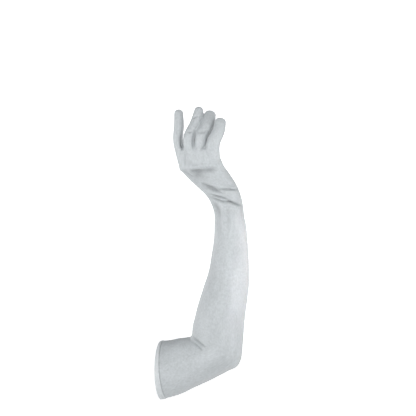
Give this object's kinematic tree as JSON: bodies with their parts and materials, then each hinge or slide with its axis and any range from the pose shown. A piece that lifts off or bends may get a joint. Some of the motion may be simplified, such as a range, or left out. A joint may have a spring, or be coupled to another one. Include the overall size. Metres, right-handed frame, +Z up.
{
  "type": "long satin glove, right hand",
  "caption": "Elbow-length right-hand dress glove of pale silver-grey stretch satin, in the form of a bent arm with a raised hand and softly curled fingers.",
  "frame": {"origin": "middle of the opening at the upper end of the sleeve, where the upper arm goes in", "axes": "+Z up along the forearm towards the fingers, +X from the opening towards the elbow, +Y away from the viewer of the back of the hand"},
  "size_m": [0.1439, 0.1178, 0.4454],
  "materials": {
    "satin": "satin",
    "hem": "satin"
  },
  "bodies": {
    "root": {"back_panel": "satin", "palm_panel": "satin", "fourchette_index_middle": "satin", "fourchette_middle_ring": "satin", "fourchette_ring_little": "satin", "thumb": "satin", "cuff_hem": "hem"}
  },
  "joints": []
}
